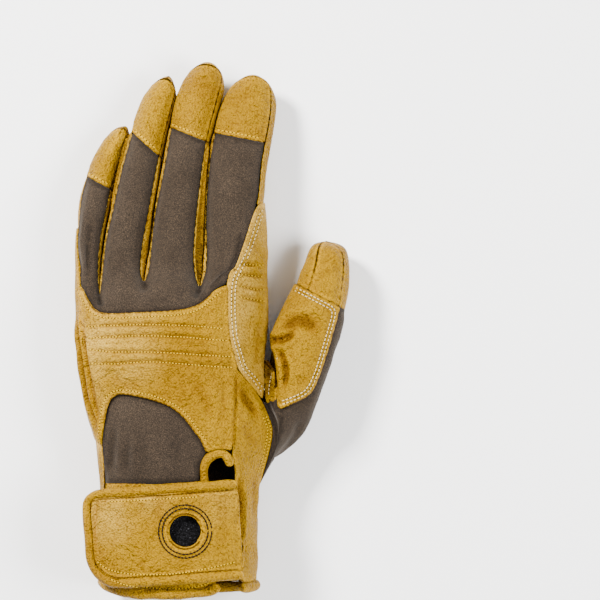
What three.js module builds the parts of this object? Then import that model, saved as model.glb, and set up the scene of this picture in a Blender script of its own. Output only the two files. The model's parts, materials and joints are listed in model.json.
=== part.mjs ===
// A left-hand leather climbing glove for rope work, lying palm down.
// The hand is one smooth skin, divided along its real seams into separate sewn panels,
// each a closed wall of leather or stretch fabric. Millimetres, +X to the thumb, +Y to the
// fingertips, +Z up through the back of the hand.
import * as THREE from "three";

// Driving sizes
const palm_width = 90;
const palm_length = 93.4;
const palm_depth = 40;
const wrist_side_height = 19;
const ball_sag = 1;
const finger_length = { little: 78, ring: 100.6, middle: 107.5, index: 102 };
const finger_width = { little: 15.4, ring: 20.9, middle: 23.6, index: 29.6 };
const finger_depth = { little: 18.5, ring: 21, middle: 22, index: 22.5 };
const thumb_reach = 93.4;
const thumb_width = 34;
const thumb_depth = 28;
const leather_wall = 1.6;
const fabric_wall = 1.4;
const overlay_rise = 0.8;
const seam_gap = 0.42;
const seam_skive = 0.95;
const valley_pull = 0.9;
const valley_flat = 6;
const hem_piping_radius = 2.5;
const slit_piping_radius = 2.2;
const tab_piping_radius = 2.3;
const piping_sides = 8;
const tab_length = 74;
const tab_height = 48;
const tab_wall = 2.6;
const tab_top_corner = 9;
const tab_bottom_corner = 16;
const tab_hole_radius = 7.6;
const loop_patch_length = 21;
const loop_patch_height = 20;
const loop_patch_wall = 0.9;
const lay_gap = 0.4;

// Colours of the hides and cloths
const hide = new THREE.MeshStandardMaterial({ color: 0xc89a3c, roughness: 0.62, metalness: 0 });
const pale_hide = new THREE.MeshStandardMaterial({ color: 0xcfa75a, roughness: 0.66, metalness: 0 });
const dark_hide = new THREE.MeshStandardMaterial({ color: 0x8a6422, roughness: 0.7, metalness: 0 });
const stretch_cloth = new THREE.MeshStandardMaterial({ color: 0x564b40, roughness: 0.92, metalness: 0 });
const loop_tape = new THREE.MeshStandardMaterial({ color: 0x1c1b1f, roughness: 0.95, metalness: 0 });

// Columns of the hand's sections, once round from the little finger's back edge
const back_columns = ["little_edge", "little_top", "gap_1", "ring_top", "gap_2", "middle_top",
  "gap_3", "index_top", "index_edge"];
const front_columns = ["index_turn", "index_pad", "gap_3_front", "middle_pad", "gap_2_front",
  "ring_pad", "gap_1_front", "little_pad", "little_turn"];
const round_columns = [...back_columns, "thumb_side", ...front_columns, "outer_side"];

// Sections of the hand from the hem to the finger crotches. x is a share of palm_width from the
// palm's middle, y a share of palm_length from the crotch line, and top and bottom are shares of
// palm_depth. right and left are the two sides as [x, y, height as a share of wrist_side_height].
const hand_sections = [
  { name: "hem", top: 0.96, bottom: -0.03, left: [-0.378, -1.47, 1], right: [0.462, -1.49, 1],
    back_x: [-0.355, -0.29, -0.21, -0.12, -0.03, 0.06, 0.155, 0.232, 0.388],
    back_y: [-1.49, -1.51, -1.52, -1.525, -1.525, -1.525, -1.52, -1.5, -1.5],
    front_x: [0.42, 0.3, 0.18, 0.056, -0.06, -0.17, -0.254, -0.318, -0.358],
    front_y: [-1.5, -1.51, -1.515, -1.52, -1.52, -1.515, -1.505, -1.49, -1.48] },
  { name: "cuff_low", top: 0.96, bottom: -0.03, left: [-0.386, -1.38, 1], right: [0.462, -1.39, 1],
    back_x: [-0.36, -0.305, -0.225, -0.135, -0.04, 0.055, 0.155, 0.245, 0.377],
    back_y: [-1.39, -1.39, -1.39, -1.39, -1.39, -1.39, -1.39, -1.39, -1.39],
    front_x: [0.42, 0.3, 0.18, 0.056, -0.06, -0.17, -0.254, -0.318, -0.36],
    front_y: [-1.39, -1.39, -1.39, -1.39, -1.39, -1.39, -1.39, -1.39, -1.39] },
  { name: "cuff_mid", top: 0.96, bottom: -0.03, left: [-0.384, -1.21, 1], right: [0.46, -1.21, 1],
    back_x: [-0.36, -0.31, -0.233, -0.14, -0.045, 0.05, 0.145, 0.228, 0.366],
    back_y: [-1.21, -1.21, -1.21, -1.21, -1.21, -1.21, -1.21, -1.21, -1.21],
    front_x: [0.42, 0.3, 0.18, 0.056, -0.06, -0.17, -0.254, -0.318, -0.36],
    front_y: [-1.21, -1.21, -1.21, -1.21, -1.21, -1.21, -1.21, -1.21, -1.21] },
  { name: "wrist", top: 0.96, bottom: -0.03, left: [-0.378, -1, 1], right: [0.478, -1, 1.05],
    back_x: [-0.356, -0.318, -0.238, -0.15, -0.06, 0.02, 0.092, 0.15, 0.352],
    back_y: [-0.99, -0.99, -0.99, -0.99, -0.99, -0.985, -0.98, -0.975, -0.99],
    front_x: [0.44, 0.31, 0.12, -0.06, -0.17, -0.236, -0.288, -0.33, -0.358],
    front_y: [-1.01, -1.03, -1.05, -0.975, -0.98, -0.985, -0.99, -0.99, -0.995] },
  { name: "heel", top: 1, bottom: 0, left: [-0.418, -0.735, 1], right: [0.556, -0.72, 1.2],
    back_x: [-0.368, -0.338, -0.243, -0.147, -0.045, 0.056, 0.14, 0.192, 0.322],
    back_y: [-0.8, -0.58, -0.533, -0.55, -0.578, -0.634, -0.742, -0.832, -0.822],
    front_x: [0, 0, 0, -0.212, -0.262, -0.294, -0.324, -0.352, -0.382],
    front_y: [0, 0, 0, -0.655, -0.68, -0.705, -0.735, -0.76, -0.775] },
  { name: "thumb_root", top: 1.02, bottom: 0.05, left: [-0.484, -0.47, 1], right: [0.488, -0.575, 1.12],
    back_x: [-0.441, -0.38, -0.3, -0.2, -0.1, 0.005, 0.11, 0.225, 0.356],
    back_y: [-0.385, -0.378, -0.378, -0.378, -0.382, -0.388, -0.392, -0.396, -0.397],
    front_x: [0.48, 0.4, 0.13, -0.158, -0.25, -0.32, -0.377, -0.425, -0.462],
    front_y: [-0.345, -0.395, -0.464, -0.464, -0.462, -0.464, -0.47, -0.474, -0.474] },
  { name: "palm_mid", top: 1, bottom: 0.08, left: [-0.502, -0.26, 1], right: [0.505, -0.22, 1],
    back_x: [-0.465, -0.4, -0.325, -0.22, -0.115, -0.005, 0.1, 0.205, 0.31],
    back_y: [-0.24, -0.245, -0.245, -0.245, -0.245, -0.25, -0.255, -0.255, -0.255],
    front_x: [0.465, 0.345, 0.13, -0.02, -0.16, -0.28, -0.38, -0.44, -0.482],
    front_y: [-0.215, -0.22, -0.235, -0.235, -0.235, -0.24, -0.245, -0.25, -0.255] },
  { name: "knuckles", top: 0.95, bottom: 0.09, left: [-0.505, -0.05, 0.95], right: [0.505, -0.02, 0.95],
    back_x: [-0.488, -0.43, -0.36, -0.25, -0.14, -0.015, 0.11, 0.2, 0.302],
    back_y: [0.03, -0.07, -0.118, -0.121, -0.113, -0.11, -0.09, -0.04, 0.03],
    front_x: [0.455, 0.32, 0.155, 0.01, -0.14, -0.27, -0.375, -0.44, -0.486],
    front_y: [-0.02, -0.01, -0.01, -0.01, -0.015, -0.02, -0.03, -0.04, -0.045] },
  { name: "crotch", top: 0.87, bottom: 0.1, left: [-0.505, 0.1, 0.92], right: [0.505, 0.14, 0.95],
    back_x: [-0.488, -0.44, -0.382, -0.262, -0.144, 0.005, 0.155, 0.245, 0.334],
    back_y: [0.12, 0.05, -0.036, 0.03, 0.023, 0.055, 0.002, 0.07, 0.1],
    front_x: [0.455, 0.33, 0.165, 0.02, -0.13, -0.26, -0.375, -0.44, -0.486],
    front_y: [0.15, 0.15, 0.17, 0.15, 0.17, 0.15, 0.13, 0.12, 0.11] },
];
const section_roundness = 2.4;
const crotch_dip = 0.1;
const crotch_mid_height = 0.43;

// Sections of each finger from its base to the tip. along is a share of the finger's length,
// across a share of palm_width from the palm's middle, wide and deep are shares of the finger's
// own width and depth, lift the height of its middle as a share of palm_depth, slant how far the
// thumb side drops back and tuck how far the palm side does, as shares of the finger's width.
const finger_sections = {
  little: [
    { along: 0.25, across: -0.4385, wide: 0.77, deep: 1.3, lift: 0.4, slant: 0, tuck: -0.25 },
    { along: 0.385, across: -0.428, wide: 0.87, deep: 1.14, lift: 0.39, slant: -0.1, tuck: 0 },
    { along: 0.525, across: -0.41, wide: 0.96, deep: 1.05, lift: 0.35, slant: 0, tuck: 0 },
    { along: 0.66, across: -0.385, wide: 0.95, deep: 1, lift: 0.29, slant: 0.1, tuck: 0 },
    { along: 0.845, across: -0.325, wide: 0.83, deep: 0.92, lift: 0.21, slant: 0, tuck: 0.05 },
    { along: 0.945, across: -0.28, wide: 0.64, deep: 0.7, lift: 0.19, slant: 0, tuck: 0.32 },
  ],
  ring: [
    { along: 0.195, across: -0.2487, wide: 0.98, deep: 1.24, lift: 0.42, slant: 0, tuck: -0.2 },
    { along: 0.345, across: -0.2166, wide: 0.93, deep: 1.12, lift: 0.42, slant: 0, tuck: 0 },
    { along: 0.517, across: -0.18, wide: 0.91, deep: 1.04, lift: 0.39, slant: 0, tuck: 0 },
    { along: 0.694, across: -0.133, wide: 0.85, deep: 1, lift: 0.32, slant: 0.22, tuck: 0 },
    { along: 0.868, across: -0.08, wide: 0.78, deep: 0.92, lift: 0.235, slant: 0, tuck: 0.05 },
    { along: 0.95, across: -0.047, wide: 0.6, deep: 0.7, lift: 0.22, slant: 0, tuck: 0.32 },
  ],
  middle: [
    { along: 0.18, across: 0.016, wide: 1, deep: 1.2, lift: 0.43, slant: 0, tuck: -0.18 },
    { along: 0.35, across: 0.0348, wide: 0.96, deep: 1.1, lift: 0.43, slant: 0, tuck: 0 },
    { along: 0.515, across: 0.066, wide: 0.88, deep: 1.03, lift: 0.4, slant: 0, tuck: 0 },
    { along: 0.694, across: 0.099, wide: 0.87, deep: 1, lift: 0.33, slant: 0.08, tuck: 0 },
    { along: 0.86, across: 0.149, wide: 0.87, deep: 0.92, lift: 0.25, slant: 0, tuck: 0.05 },
    { along: 0.952, across: 0.187, wide: 0.73, deep: 0.7, lift: 0.235, slant: 0, tuck: 0.28 },
  ],
  index: [
    { along: 0.19, across: 0.341, wide: 0.98, deep: 1.18, lift: 0.42, slant: 0, tuck: -0.14 },
    { along: 0.37, across: 0.336, wide: 0.97, deep: 1.08, lift: 0.42, slant: -0.14, tuck: 0 },
    { along: 0.555, across: 0.3476, wide: 0.95, deep: 1.02, lift: 0.39, slant: 0, tuck: 0 },
    { along: 0.717, across: 0.377, wide: 0.95, deep: 1, lift: 0.33, slant: 0, tuck: 0 },
    { along: 0.87, across: 0.418, wide: 0.87, deep: 0.92, lift: 0.25, slant: 0, tuck: 0.04 },
    { along: 0.95, across: 0.433, wide: 0.66, deep: 0.7, lift: 0.235, slant: 0, tuck: 0.22 },
  ],
};
const finger_tips = { little: -0.256, ring: -0.018, middle: 0.2, index: 0.433 };
const finger_tip_lift = { little: 0.19, ring: 0.215, middle: 0.225, index: 0.225 };
const finger_angles = [160, 97, 37, 0, -37, -92, -150, 180];
// The palm overlay's guard climbs the index finger's back from its side: its seam's angle by row
const guard_seam_angles = [84, 42];
const guard_seam_column = 2;
const finger_bases = {
  little: ["little_edge", "little_top", "gap_1", "gap_1_deep", "gap_1_front", "little_pad",
    "little_turn", "outer_side"],
  ring: ["gap_1", "ring_top", "gap_2", "gap_2_deep", "gap_2_front", "ring_pad", "gap_1_front",
    "gap_1_deep"],
  middle: ["gap_2", "middle_top", "gap_3", "gap_3_deep", "gap_3_front", "middle_pad",
    "gap_2_front", "gap_2_deep"],
  index: ["gap_3", "index_top", "index_edge", "thumb_side", "index_turn", "index_pad",
    "gap_3_front", "gap_3_deep"],
};
const fingers = Object.keys(finger_bases);

// The thumb grows out of a hole in the palm. Its root is a ring of twelve corners as
// [x, y, height]. In thumb_sections x and y are the section's middle, heading is the way it points
// in degrees from +Y towards +X, wide and deep are shares of the thumb's width and depth and lift
// of its depth. x and y are shares of thumb_reach from the web notch, heights of thumb_depth.
const thumb_root_ring = [[0.06, -0.304, 0.8], [0.08, -0.356, 1], [0.157, -0.314, 0.965],
  [0.214, -0.387, 0.71], [0.183, -0.505, 0.32], [0.095, -0.557, 0.09], [-0.018, -0.53, 0.01],
  [-0.07, -0.423, 0], [-0.07, -0.31, 0.035], [-0.03, -0.225, 0.16], [0.045, -0.15, 0.4],
  [0.075, -0.2, 0.6]];
const thumb_sections = [
  { x: 0.152, y: -0.165, heading: 50, wide: 1.02, deep: 1.04, lift: 0.53 },
  { x: 0.214, y: 0.03, heading: 23, wide: 0.92, deep: 1, lift: 0.51 },
  { x: 0.286, y: 0.222, heading: 28, wide: 0.8, deep: 0.92, lift: 0.48 },
  { x: 0.32, y: 0.381, heading: 10, wide: 0.63, deep: 0.82, lift: 0.44 },
  { x: 0.322, y: 0.469, heading: 0, wide: 0.5, deep: 0.6, lift: 0.42 },
];
const thumb_tip = { x: 0.302, y: 0.518, lift: 0.41 };
const thumb_origin = { x: 0.5027, y: -0.258 };
const thumb_angles = [120, 82, 44, 12, -18, -44, -70, -98, -126, -153, 180, 150];
const thumb_hole = [["thumb_root", "thumb_side"], ["heel", "thumb_side"], ["wrist", "thumb_side"],
  ["wrist", "index_turn"], ["wrist", "index_pad"], ["wrist", "gap_3_front"], ["wrist", "middle_pad"],
  ["heel", "middle_pad"], ["thumb_root", "middle_pad"], ["thumb_root", "gap_3_front"],
  ["thumb_root", "index_pad"], ["thumb_root", "index_turn"]];

// The control cage: named corners and faces, each face marked with the panel it belongs to
const corners = [];
const corner_numbers = new Map();
const cage_faces = [];

function set_corner(name, x, y, z) {
  corner_numbers.set(name, corners.length);
  corners.push(new THREE.Vector3(x, y, z));
}

function corner(name) {
  if (!corner_numbers.has(name)) throw new Error("no corner " + name);
  return corner_numbers.get(name);
}

function add_face(panel, names) {
  cage_faces.push({ panel, loop: names.map(corner) });
}

function oval_height(share) {
  return Math.pow(Math.max(0, 1 - Math.pow(Math.abs(share), section_roundness)), 1 / section_roundness);
}

function round_power(value, power) {
  return Math.sign(value) * Math.pow(Math.abs(value), power);
}

function build_hand_corners() {
  for (const section of hand_sections) {
    const [left_x, left_y, left_lift] = section.left;
    const [right_x, right_y, right_lift] = section.right;
    const middle = (left_x + right_x) / 2;
    const half = (right_x - left_x) / 2;
    const place = (column, x, y, crest) => {
      const side = wrist_side_height * (left_lift + (right_lift - left_lift) * (x - left_x) / (2 * half));
      const height = side + (crest * palm_depth - side) * oval_height((x - middle) / half);
      set_corner(section.name + "." + column, x * palm_width, y * palm_length, height);
    };
    back_columns.forEach((column, i) => {
      const dipped = section.name === "crotch" && column.startsWith("gap");
      place(column, section.back_x[i], section.back_y[i], section.top - (dipped ? crotch_dip : 0));
    });
    const side_corner = (column, x, y, lift) =>
      set_corner(section.name + "." + column, x * palm_width, y * palm_length, lift * wrist_side_height);
    side_corner("thumb_side", right_x, right_y, right_lift);
    front_columns.forEach((column, i) => {
      const in_hole = section.name === "heel" && i < 3;
      if (!in_hole) place(column, section.front_x[i], section.front_y[i], section.bottom);
    });
    side_corner("outer_side", left_x, left_y, left_lift);
  }
  for (const gap of ["gap_1", "gap_2", "gap_3"]) {
    const back = corners[corner("crotch." + gap)];
    const front = corners[corner("crotch." + gap + "_front")];
    const deep = back.clone().lerp(front, 0.5);
    set_corner("crotch." + gap + "_deep", deep.x, deep.y, crotch_mid_height * palm_depth);
  }
}

function hand_panel(row, i) {
  const column = round_columns[i];
  const on_back = i < 8;
  const slit = column === "index_top" && row < 4;
  const in_hole = row >= 3 && row < 5 && i >= 9 && i < 13;
  if (slit || in_hole) return null;
  if (on_back) {
    if (row < 3) return "cuff_back";
    if (row === 3) return "wrist_back_panel";
    if (row < 7) return "knuckle_patch";
    return "back_panel";
  }
  const lower = i === 8 ? row < 5 : row < 4;
  return lower ? "palm_heel" : "palm_panel";
}

function build_hand_faces() {
  for (let row = 0; row + 1 < hand_sections.length; row++) {
    const low = hand_sections[row].name + ".";
    const high = hand_sections[row + 1].name + ".";
    round_columns.forEach((column, i) => {
      const next = round_columns[(i + 1) % round_columns.length];
      const panel = hand_panel(row, i);
      if (panel) add_face(panel, [low + column, low + next, high + next, high + column]);
    });
  }
}

// Finger faces: columns 0 and 1 are the back, 2 and 3 the thumb side, 4 and 5 the palm side,
// 6 and 7 the outer side
const side_names = {
  little: { right: "fourchette_little_ring", left: null },
  ring: { right: "fourchette_ring_middle", left: "fourchette_little_ring" },
  middle: { right: "fourchette_middle_index", left: "fourchette_ring_middle" },
  index: { right: null, left: "fourchette_middle_index" },
};

function finger_panel(finger, row, column) {
  const past_cap_seam = row >= 4;
  const past_overlay = row >= 2;
  const front = past_overlay ? "finger_front_" + finger : "palm_panel";
  if (column < 2) return past_cap_seam ? "fingertip_cap_" + finger : "back_panel";
  if (column < 4) {
    if (past_cap_seam) return "fingertip_band_" + finger;
    if (finger === "index") return past_overlay ? "fingertip_band_index" : "palm_panel";
    return side_names[finger].right;
  }
  if (column < 6) return front;
  if (past_cap_seam) return "fingertip_cap_" + finger;
  return side_names[finger].left || front;
}

function build_finger(finger) {
  const rows = finger_sections[finger];
  const length = finger_length[finger];
  const width = finger_width[finger];
  const middles = rows.map((row) => new THREE.Vector2(row.across * palm_width, row.along * length));
  middles.push(new THREE.Vector2(finger_tips[finger] * palm_width, length));
  let ring = finger_bases[finger].map((name) => "crotch." + name);
  rows.forEach((row, number) => {
    const before = middles[Math.max(0, number - 1)];
    const heading = middles[number + 1].clone().sub(before).normalize();
    const sideways = new THREE.Vector2(heading.y, -heading.x);
    const next_ring = finger_angles.map((degrees, column) => {
      const guarded = finger === "index" && column === guard_seam_column && number < guard_seam_angles.length;
      const angle = THREE.MathUtils.degToRad(guarded ? guard_seam_angles[number] : degrees);
      const across = round_power(Math.cos(angle), 0.9) * row.wide * width / 2;
      const up = round_power(Math.sin(angle), 0.9) * row.deep * finger_depth[finger] / 2;
      const back = -row.slant * width * Math.cos(angle) + row.tuck * width * Math.sin(angle);
      const name = [finger, number, column].join(".");
      const x = middles[number].x + sideways.x * across + heading.x * back;
      const y = middles[number].y + sideways.y * across + heading.y * back;
      set_corner(name, x, y, row.lift * palm_depth + up);
      return name;
    });
    ring.forEach((name, column) => {
      const next = (column + 1) % ring.length;
      add_face(finger_panel(finger, number, column), [name, ring[next], next_ring[next], next_ring[column]]);
    });
    ring = next_ring;
  });
  const tip = finger + ".tip";
  set_corner(tip, middles[rows.length].x, middles[rows.length].y, finger_tip_lift[finger] * palm_depth);
  for (let column = 1; column < ring.length; column += 2) {
    const after = [column, column + 1, column + 2].map((i) => ring[i % ring.length]);
    add_face("fingertip_band_" + finger, [after[0], after[1], after[2], tip]);
  }
}

// Thumb faces: columns 0 to 2 are the guarded pad that faces up, 3 to 6 the stretch back,
// 7 to 9 the underside by the palm and 10 and 11 the web side
function thumb_panel(row, column) {
  if (row < 2 && (column >= 8 || column === 0 && row === 0)) return column >= 8 ? "web_patch" : "thumb_back";
  if (row < 2 && column < 6) return "thumb_back";
  if (row < 5) {
    if (column < 2 || column >= 10) return "thumb_guard";
    return column < 6 ? "thumb_back" : "thumb_front";
  }
  if (column < 2) return "thumb_tip_front";
  return column < 6 ? "thumb_tip_back" : "thumb_tip_band";
}

function build_thumb() {
  const origin_x = thumb_origin.x * palm_width;
  const origin_y = thumb_origin.y * palm_length;
  const rings = [thumb_hole.map(([section, column]) => section + "." + column)];
  const section_rings = thumb_sections.map((section, number) => {
    const heading = THREE.MathUtils.degToRad(section.heading);
    const sideways = new THREE.Vector2(Math.cos(heading), -Math.sin(heading));
    return thumb_angles.map((degrees, column) => {
      const angle = THREE.MathUtils.degToRad(degrees);
      const across = round_power(Math.cos(angle), 0.9) * section.wide * thumb_width / 2;
      const up = round_power(Math.sin(angle), 0.9) * section.deep * thumb_depth / 2;
      const x = origin_x + section.x * thumb_reach + sideways.x * across;
      const y = origin_y + section.y * thumb_reach + sideways.y * across;
      const name = ["thumb", number, column].join(".");
      set_corner(name, x, y, section.lift * thumb_depth + up);
      return name;
    });
  });
  const root_ring = thumb_root_ring.map(([x, y, height], column) => {
    const name = "thumb.root." + column;
    set_corner(name, origin_x + x * thumb_reach, origin_y + y * thumb_reach, height * thumb_depth);
    return name;
  });
  const ball = rings[0].map((name, column) => {
    const from = corners[corner(name)];
    const to = corners[corner(root_ring[column])];
    const under = Math.max(0, -Math.sin(THREE.MathUtils.degToRad(thumb_angles[column])));
    const between = from.clone().lerp(to, 0.5);
    const ball_name = "thumb.ball." + column;
    set_corner(ball_name, between.x, between.y, between.z - under * ball_sag);
    return ball_name;
  });
  rings.push(ball, root_ring, ...section_rings);
  for (let row = 0; row + 1 < rings.length; row++) {
    rings[row].forEach((name, column) => {
      const next = (column + 1) % rings[row].length;
      const above = rings[row + 1];
      add_face(thumb_panel(row, column), [name, rings[row][next], above[next], above[column]]);
    });
  }
  const last = rings[rings.length - 1];
  set_corner("thumb.tip", origin_x + thumb_tip.x * thumb_reach, origin_y + thumb_tip.y * thumb_reach,
    thumb_tip.lift * thumb_depth);
  for (let column = 0; column < last.length; column += 2) {
    const loop = [last[column], last[column + 1], last[(column + 2) % last.length], "thumb.tip"];
    add_face(column < 2 ? "thumb_tip_front" : column < 6 ? "thumb_tip_back" : "thumb_tip_band", loop);
  }
}

build_hand_corners();
build_hand_faces();
fingers.forEach(build_finger);
build_thumb();

// Subdivision of the cage into the smooth skin
function edge_key(a, b) {
  return a < b ? a + "_" + b : b + "_" + a;
}

function edge_table(faces) {
  const edges = new Map();
  faces.forEach(({ loop }, number) => {
    loop.forEach((a, i) => {
      const b = loop[(i + 1) % loop.length];
      const key = edge_key(a, b);
      if (!edges.has(key)) edges.set(key, { ends: [a, b], faces: [] });
      edges.get(key).faces.push(number);
    });
  });
  return edges;
}

function average(points) {
  const sum = new THREE.Vector3();
  points.forEach((point) => sum.add(point));
  return sum.divideScalar(points.length);
}

function rim_average(point, before, after, weight) {
  return point.clone().multiplyScalar(weight).add(before).add(after).divideScalar(weight + 2);
}

function neighbourhoods(count, faces) {
  const around = Array.from({ length: count }, () => ({ faces: [], edges: [], rim: [] }));
  faces.forEach(({ loop }, number) => loop.forEach((v) => around[v].faces.push(number)));
  for (const edge of edge_table(faces).values()) {
    const [a, b] = edge.ends;
    around[a].edges.push(b);
    around[b].edges.push(a);
    if (edge.faces.length === 1) {
      around[a].rim.push(b);
      around[b].rim.push(a);
    }
  }
  return around;
}

function subdivide(points, faces) {
  const edges = edge_table(faces);
  const around = neighbourhoods(points.length, faces);
  const centres = faces.map(({ loop }) => average(loop.map((v) => points[v])));
  const result = points.map((point, v) => {
    const { faces: near_faces, edges: near, rim } = around[v];
    if (rim.length) return rim_average(point, points[rim[0]], points[rim[1]], 6);
    const n = near.length;
    const face_mean = average(near_faces.map((f) => centres[f]));
    const edge_mean = average(near.map((w) => points[w].clone().add(point).multiplyScalar(0.5)));
    return point.clone().multiplyScalar(n - 3).add(face_mean).addScaledVector(edge_mean, 2).divideScalar(n);
  });
  const edge_points = new Map();
  for (const [key, edge] of edges) {
    const ends = edge.ends.map((v) => points[v]);
    const inner = edge.faces.length === 2 ? edge.faces.map((f) => centres[f]) : [];
    edge_points.set(key, result.length);
    result.push(average([...ends, ...inner]));
  }
  const new_faces = [];
  faces.forEach(({ panel, loop }, number) => {
    const centre = result.length;
    result.push(centres[number].clone());
    loop.forEach((v, i) => {
      const before = loop[(i + loop.length - 1) % loop.length];
      const after = loop[(i + 1) % loop.length];
      const quad = [v, edge_points.get(edge_key(v, after)), centre, edge_points.get(edge_key(before, v))];
      new_faces.push({ panel, loop: quad });
    });
  });
  return { points: result, faces: new_faces };
}

// Where a corner ends up on the finished smooth skin
function limit_points(points, faces) {
  const around = neighbourhoods(points.length, faces);
  return points.map((point, v) => {
    const { faces: near_faces, edges: near, rim } = around[v];
    if (rim.length) return rim_average(point, points[rim[0]], points[rim[1]], 4);
    const n = near.length;
    const sum = point.clone().multiplyScalar(n * n);
    near.forEach((w) => sum.addScaledVector(points[w], 4));
    let weight = n * n + 4 * n;
    near_faces.forEach((f) => {
      const far = faces[f].loop.filter((w) => w !== v && !near.includes(w));
      far.forEach((w) => sum.add(points[w]));
      weight += far.length;
    });
    return sum.divideScalar(weight);
  });
}

const fitting_rounds = 12;
const fitting_pull = 0.8;
const cage = corners.map((point) => point.clone());
for (let round = 0; round < fitting_rounds; round++) {
  const reached = limit_points(cage, cage_faces);
  cage.forEach((point, v) => point.addScaledVector(corners[v].clone().sub(reached[v]), fitting_pull));
}
const skin = subdivide(cage, cage_faces);
skin.points = limit_points(skin.points, skin.faces);

function face_normal(loop) {
  const [a, b, c, d] = loop.map((v) => skin.points[v]);
  return c.clone().sub(a).cross(d.clone().sub(b));
}

const skin_normals = skin.points.map(() => new THREE.Vector3());
skin.faces.forEach(({ loop }) => {
  const normal = face_normal(loop);
  loop.forEach((v) => skin_normals[v].add(normal));
});
skin_normals.forEach((normal) => normal.normalize());

// Panels: each is a closed wall cut from the skin along its seams
const overlays = new Set(["palm_panel", "knuckle_patch", "thumb_guard"]);
const fabrics = new Set(["back_panel", "wrist_back_panel", "thumb_back"]);
const table_level = 0;

function closed_mesh(name, material, positions, triangles) {
  const geometry = new THREE.BufferGeometry();
  const numbers = positions.flatMap((p) => [p.x, p.y, p.z]);
  geometry.setAttribute("position", new THREE.Float32BufferAttribute(numbers, 3));
  geometry.setIndex(triangles.flat());
  const mesh = new THREE.Mesh(geometry, material);
  mesh.name = name;
  return mesh;
}

function panel_material(name) {
  if (fabrics.has(name)) return stretch_cloth;
  if (name.startsWith("fourchette")) return dark_hide;
  return name.startsWith("palm") ? pale_hide : hide;
}

// In the valley between palm and thumb both walls draw back and the overlay lies flush
const valley_pair = ["palm_panel", "web_patch"];
function corners_of(name) {
  const faces = skin.faces.filter((face) => face.panel === name);
  return new Set(faces.flatMap((face) => face.loop));
}

const web_corners = corners_of("web_patch");
const in_valley = new Set([...corners_of("palm_panel")].filter((v) => web_corners.has(v)));

function valley_fade(point) {
  const nearest = Math.min(...[...in_valley].map((v) => skin.points[v].distanceTo(point)));
  return Math.min(1, Math.max(0, nearest - valley_flat) / valley_flat);
}

function panel_mesh(name) {
  const faces = skin.faces.filter((face) => face.panel === name);
  const wall = fabrics.has(name) ? fabric_wall : leather_wall;
  const rise = overlays.has(name) ? overlay_rise : 0;
  const rim = new Map();
  for (const edge of edge_table(faces).values()) {
    if (edge.faces.length > 1) continue;
    const loop = faces[edge.faces[0]].loop;
    const [a, b] = loop.indexOf(edge.ends[1]) === (loop.indexOf(edge.ends[0]) + 1) % loop.length
      ? edge.ends : [edge.ends[1], edge.ends[0]];
    const along = skin.points[b].clone().sub(skin.points[a]);
    const inward = face_normal(loop).cross(along).normalize();
    for (const v of [a, b]) {
      if (!rim.has(v)) rim.set(v, { inward: [], next: null });
      rim.get(v).inward.push(inward);
    }
    rim.get(a).next = b;
  }
  const used = [...new Set(faces.flatMap(({ loop }) => loop))];
  const order = new Map(used.map((v, i) => [v, i]));
  const outer = [];
  const inner = [];
  for (const v of used) {
    const base = skin.points[v].clone();
    const skived = base.clone();
    const valley = valley_pair.includes(name) && in_valley.has(v);
    const pull = seam_gap / 2 + (valley ? valley_pull : 0);
    if (rim.has(v)) {
      const [first, second] = rim.get(v).inward;
      const middle = first.clone().add(second);
      const lean = Math.max(0.5, middle.length() / 2);
      middle.normalize();
      base.addScaledVector(middle, pull / lean);
      skived.addScaledVector(middle, pull / lean + seam_skive);
    }
    const normal = skin_normals[v];
    const out = base.clone().addScaledVector(normal, rise * valley_fade(skin.points[v]));
    out.z = Math.max(out.z, table_level);
    const into = skived.addScaledVector(normal, -wall);
    if (normal.z < -0.5) into.z = Math.max(into.z, out.z + wall);
    outer.push(out);
    inner.push(into);
  }
  const triangles = [];
  const count = used.length;
  for (const { loop } of faces) {
    const [a, b, c, d] = loop.map((v) => order.get(v));
    triangles.push([a, b, c], [a, c, d]);
    triangles.push([a + count, c + count, b + count], [a + count, d + count, c + count]);
  }
  for (const [v, { next }] of rim) {
    const a = order.get(v);
    const b = order.get(next);
    triangles.push([b, a, a + count], [b, a + count, b + count]);
  }
  return closed_mesh(name, panel_material(name), [...outer, ...inner], triangles);
}

// A round binding swept along a path of points
function piping_mesh(name, material, path, radius) {
  const positions = [];
  const triangles = [];
  let up = new THREE.Vector3(0, 0, 1);
  path.forEach((point, i) => {
    const ahead = path[Math.min(i + 1, path.length - 1)];
    const along = ahead.clone().sub(path[Math.max(i - 1, 0)]).normalize();
    const side = along.clone().cross(up).normalize();
    up = side.clone().cross(along).normalize();
    for (let k = 0; k < piping_sides; k++) {
      const angle = (2 * Math.PI * k) / piping_sides;
      const spot = point.clone().addScaledVector(side, radius * Math.cos(angle));
      positions.push(spot.addScaledVector(up, radius * Math.sin(angle)));
    }
  });
  for (let i = 0; i + 1 < path.length; i++) {
    for (let k = 0; k < piping_sides; k++) {
      const a = i * piping_sides + k;
      const b = i * piping_sides + (k + 1) % piping_sides;
      triangles.push([a, b + piping_sides, b], [a, a + piping_sides, b + piping_sides]);
    }
  }
  const last = (path.length - 1) * piping_sides;
  for (let k = 1; k + 1 < piping_sides; k++) {
    triangles.push([0, k, k + 1], [last, last + k + 1, last + k]);
  }
  return closed_mesh(name, material, positions, triangles);
}

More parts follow.
